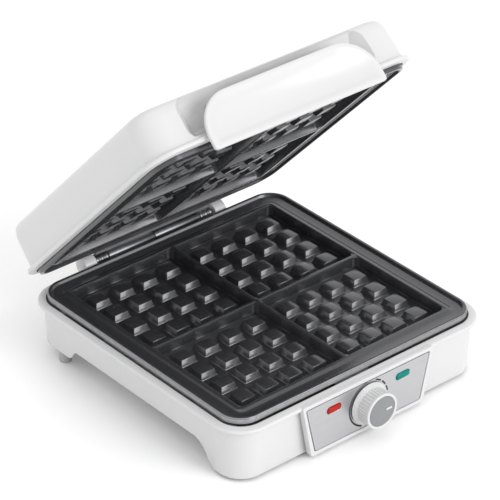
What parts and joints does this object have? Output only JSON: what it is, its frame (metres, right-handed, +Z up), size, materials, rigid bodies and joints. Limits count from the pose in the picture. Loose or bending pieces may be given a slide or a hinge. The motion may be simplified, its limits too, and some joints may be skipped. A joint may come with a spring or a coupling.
{
  "type": "waffle maker",
  "caption": "Square white waffle maker with a hinged lid and a front handle panel, dark non-stick plates with square pockets, a sloping control panel, a dial and lamps.",
  "frame": {"origin": "centre of the footprint of the open waffle maker, on the surface that its feet stand on", "axes": "+Z up, -Y towards the front with its control panel and dial, +Y towards the hinge, +X to the right as seen from the front"},
  "size_m": [0.2852, 0.3348, 0.2994],
  "materials": {
    "white_plastic": "smooth white moulded plastic with a soft gloss",
    "nonstick_plate": "dark grey non-stick coating over die-cast aluminium, satin",
    "steel_fascia": "thin brushed steel sheet, grain along X",
    "hinge_steel": "dark satin steel",
    "zinc_steel": "bright zinc-plated steel",
    "bare_aluminium": "plain rolled aluminium",
    "element_steel": "heat-browned steel tube",
    "red_lens": "clear red lens, polished",
    "green_lens": "clear blue-green lens, polished",
    "lamp_glass": "clear glass",
    "foot_rubber": "light grey rubber",
    "gland_rubber": "black moulded rubber",
    "grey_cap": "mid grey satin plastic",
    "ceramic": "off-white glazed ceramic"
  },
  "bodies": {
    "base": {"base_housing": "white_plastic", "control_surround": "white_plastic", "control_fascia": "steel_fascia", "power_lamp_lens": "red_lens", "ready_lamp_lens": "green_lens", "power_lamp_bulb": "lamp_glass", "ready_lamp_bulb": "lamp_glass", "thermostat_body": "ceramic", "thermostat_bracket": "zinc_steel", "lower_plate": "nonstick_plate", "lower_heating_element": "element_steel", "lower_reflector": "bare_aluminium", "thermal_fuse": "ceramic", "terminal_block": "ceramic", "bottom_cover": "white_plastic", "cord_gland": "gland_rubber", "hinge_pin": "hinge_steel", "base_hinge_leaf": "hinge_steel", "base_leaf_screw_left": "zinc_steel", "base_leaf_screw_right": "zinc_steel", "foot_front_left": "foot_rubber", "cover_screw_front_left": "zinc_steel", "foot_front_right": "foot_rubber", "cover_screw_front_right": "zinc_steel", "foot_rear_left": "foot_rubber", "cover_screw_rear_left": "zinc_steel", "foot_rear_right": "foot_rubber", "cover_screw_rear_right": "zinc_steel"},
    "lid": {"lid_housing": "white_plastic", "lid_handle": "white_plastic", "upper_plate": "nonstick_plate", "upper_heating_element": "element_steel", "upper_reflector": "bare_aluminium", "lid_hinge_leaf": "hinge_steel", "lid_leaf_screw_left": "zinc_steel", "lid_leaf_screw_right": "zinc_steel", "handle_screw_left": "zinc_steel", "handle_screw_right": "zinc_steel"},
    "dial": {"control_dial": "white_plastic", "dial_cap": "grey_cap", "dial_pointer": "white_plastic", "thermostat_shaft": "zinc_steel"}
  },
  "joints": [
    {"name": "lid_hinge", "type": "hinge", "parent": "base", "child": "lid", "pos_m": [0, 0.13703, 0.0583], "axis": [-1, 0, 0], "range_deg": [-46.5, 55]},
    {"name": "dial_turn", "type": "hinge", "parent": "base", "child": "dial", "pos_m": [0, -0.13987, 0.0297], "axis": [0, 1, 0], "range_deg": [-225, 45]}
  ]
}
